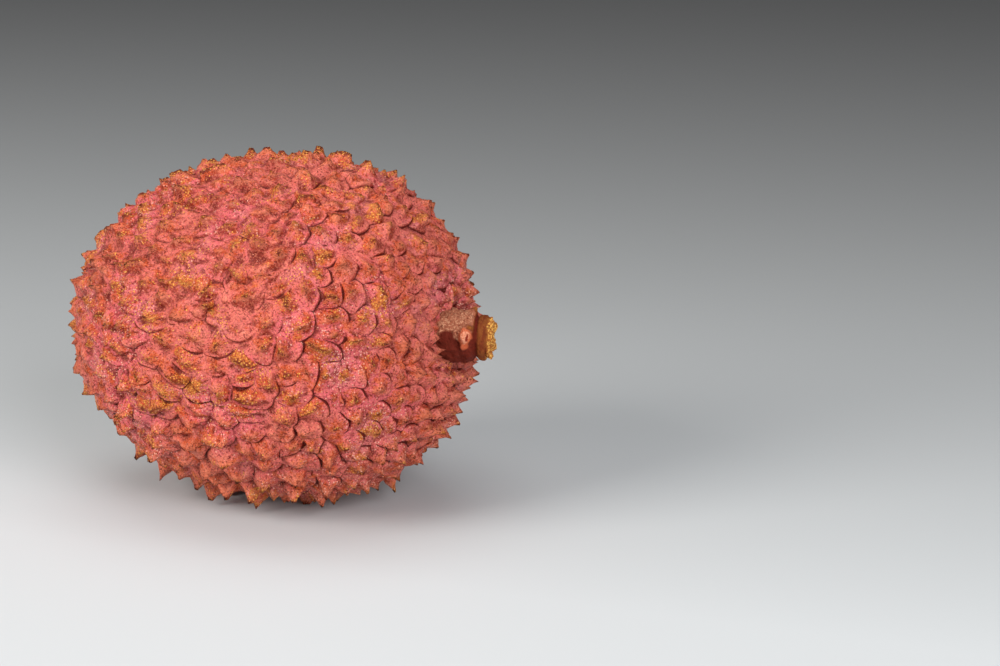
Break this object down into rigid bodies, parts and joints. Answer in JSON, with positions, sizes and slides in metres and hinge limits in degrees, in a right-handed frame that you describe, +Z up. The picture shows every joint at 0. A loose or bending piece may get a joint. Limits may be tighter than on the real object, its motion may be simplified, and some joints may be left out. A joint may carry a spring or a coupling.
{
  "type": "lychee fruit",
  "caption": "Whole unpeeled lychee lying on its side: a blunt egg with a pink-red rind raised into pointed scales, and a short woody stalk stub in its stem dimple.",
  "frame": {"origin": "on the surface that the fruit lies on, under the middle of the object's box", "axes": "+X from the blossom end towards the stalk, +Z up, +Y across the fruit"},
  "size_m": [0.039, 0.0312, 0.0304],
  "materials": {
    "rind": "leathery salmon-pink rind, dull to satin, with orange-brown scale tips and golden fibres",
    "stalk": "dry brown wood with a torn ochre end, matt"
  },
  "bodies": {
    "root": {"fruit": "rind", "stalk_stub": "stalk"}
  },
  "joints": []
}
